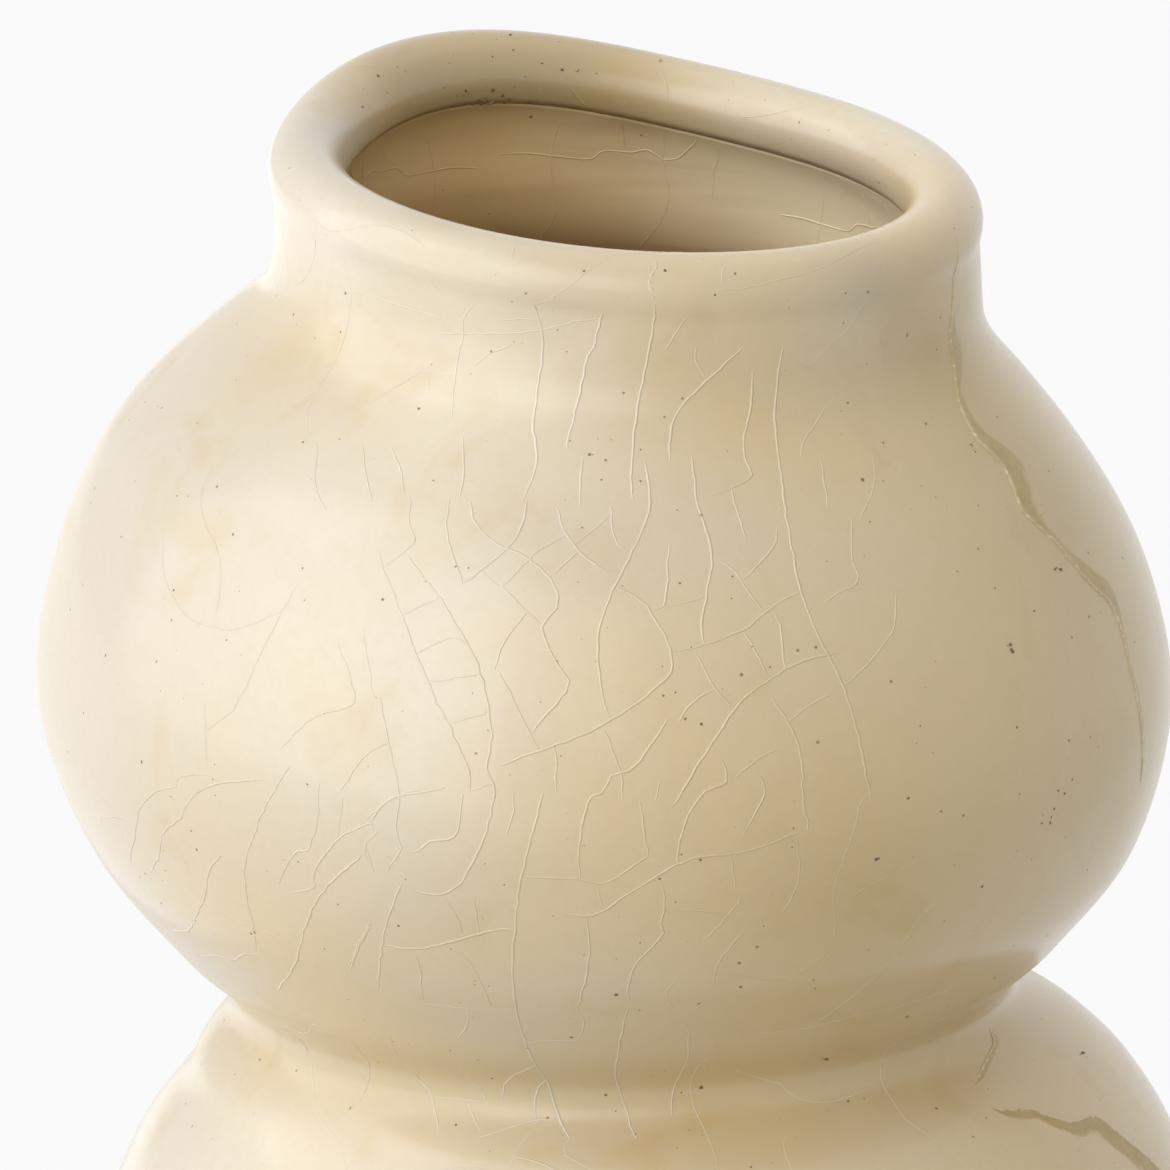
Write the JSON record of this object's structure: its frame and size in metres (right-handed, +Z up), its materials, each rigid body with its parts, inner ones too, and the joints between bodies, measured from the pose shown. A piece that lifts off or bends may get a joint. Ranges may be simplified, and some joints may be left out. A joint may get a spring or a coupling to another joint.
{
  "type": "double gourd vase",
  "caption": "Hand thrown double gourd vase with a drawn-in waist, short collar, thick rolled lip and bare foot ring, crackle glazed.",
  "frame": {"origin": "centre of the foot ring, on the surface that the vase stands on", "axes": "+Z up through the mouth, front towards -Y, right side towards +X"},
  "size_m": [0.1434, 0.1379, 0.1887],
  "materials": {
    "bare_clay": "bare fired stoneware, fine grit, matt",
    "body_clay": "fired stoneware under the glaze",
    "slip": "fired slip at the joints",
    "outer_glaze": "glossy cream crackle glaze with iron specks",
    "liner_glaze": "glossy cream glaze poured inside",
    "pooled_glaze": "thick olive tan glaze run"
  },
  "bodies": {
    "root": {"foot_ring": "bare_clay", "floor_slab": "bare_clay", "lower_bulb": "body_clay", "waist_slip": "slip", "upper_bulb": "body_clay", "neck_slip": "slip", "collar": "body_clay", "lip_roll": "body_clay", "outer_glaze": "outer_glaze", "liner_glaze": "liner_glaze", "glaze_runs": "pooled_glaze"}
  },
  "joints": []
}
